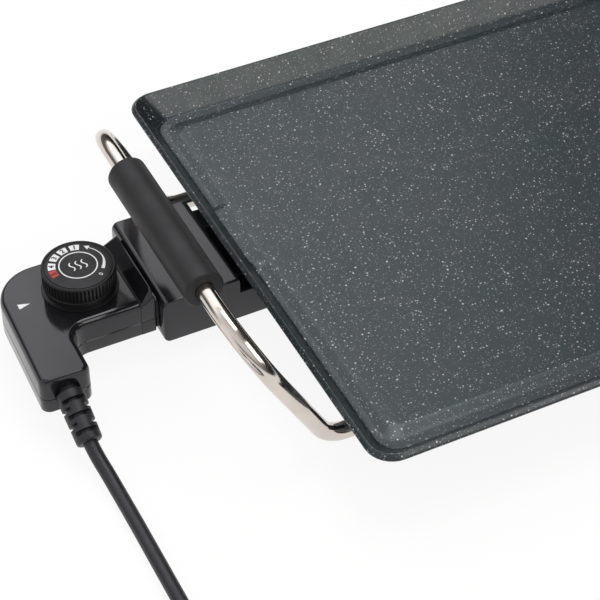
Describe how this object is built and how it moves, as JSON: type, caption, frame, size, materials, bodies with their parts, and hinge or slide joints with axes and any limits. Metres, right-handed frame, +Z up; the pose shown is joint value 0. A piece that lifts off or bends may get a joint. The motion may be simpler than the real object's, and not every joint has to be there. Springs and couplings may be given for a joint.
{
  "type": "electric grill plate",
  "caption": "Countertop electric grill plate with a shallow speckled tray, grease channel, looped bright handles, and a plug-in temperature controller with knob and supply cord.",
  "frame": {"origin": "middle of the object's box, without the cord, on the table under the foot pads", "axes": "+X along the plate's long side, away from the controller; +Y across the plate towards the back; +Z up"},
  "size_m": [0.738, 0.3974, 0.0905],
  "materials": {
    "stone_coating": "dark grey speckled non-stick coating on cast aluminium",
    "sheath_steel": "heat-tinted steel sheath",
    "plated_steel": "zinc plated",
    "ceramic": "unglazed",
    "nickel_brass": "nickel plated brass",
    "gloss_black": "high gloss black",
    "bright_rod": "bright warm nickel",
    "grip_black": "matte black sleeve",
    "foot_black": "moulded heat-proof black",
    "pad_rubber": "soft black",
    "carrier_black": "moulded black",
    "contact_brass": "bare brass",
    "cord_black": "satin black",
    "tie_black": "black band",
    "plug_black": "satin black",
    "knob_black": "satin black, ribbed side",
    "dial_print": "black disc with white and red marks"
  },
  "bodies": {
    "griddle": {"cooking_plate": "stone_coating", "heating_element": "sheath_steel", "element_straps": "plated_steel", "strap_screws": "plated_steel", "terminal_insulators": "ceramic", "terminal_pins": "nickel_brass", "earth_pin": "nickel_brass", "socket_housing": "gloss_black", "socket_screws": "plated_steel", "left_handle": "bright_rod", "right_handle": "bright_rod", "left_grip": "grip_black", "right_grip": "grip_black", "foot_front_left": "foot_black", "foot_back_left": "foot_black", "foot_front_right": "foot_black", "foot_back_right": "foot_black", "foot_screws": "plated_steel", "foot_pads": "pad_rubber", "grub_screws": "plated_steel"},
    "controller": {"upper_housing": "gloss_black", "lower_housing": "gloss_black", "housing_screws": "plated_steel", "contact_carrier": "carrier_black", "power_contacts": "contact_brass", "earth_contact": "contact_brass", "temperature_probe": "plated_steel", "thermostat_base": "ceramic", "switch_blades": "contact_brass", "cord_clamp": "carrier_black", "strain_relief": "cord_black", "supply_cord": "cord_black", "cord_coil": "cord_black", "cord_tie": "tie_black", "plug_body": "plug_black", "plug_pins": "nickel_brass", "plug_earth": "nickel_brass"},
    "knob_set": {"knob": "knob_black", "dial_plate": "dial_print", "spindle": "plated_steel"}
  },
  "joints": [
    {"name": "controller_unplug", "type": "slide", "parent": "griddle", "child": "controller", "axis": [-1, 0, 0], "range_m": [0, 0.09]},
    {"name": "knob_turn", "type": "hinge", "parent": "controller", "child": "knob_set", "pos_m": [-0.27925, 0.028, 0.04], "axis": [0, 0, 1], "range_deg": [0, 231]}
  ]
}
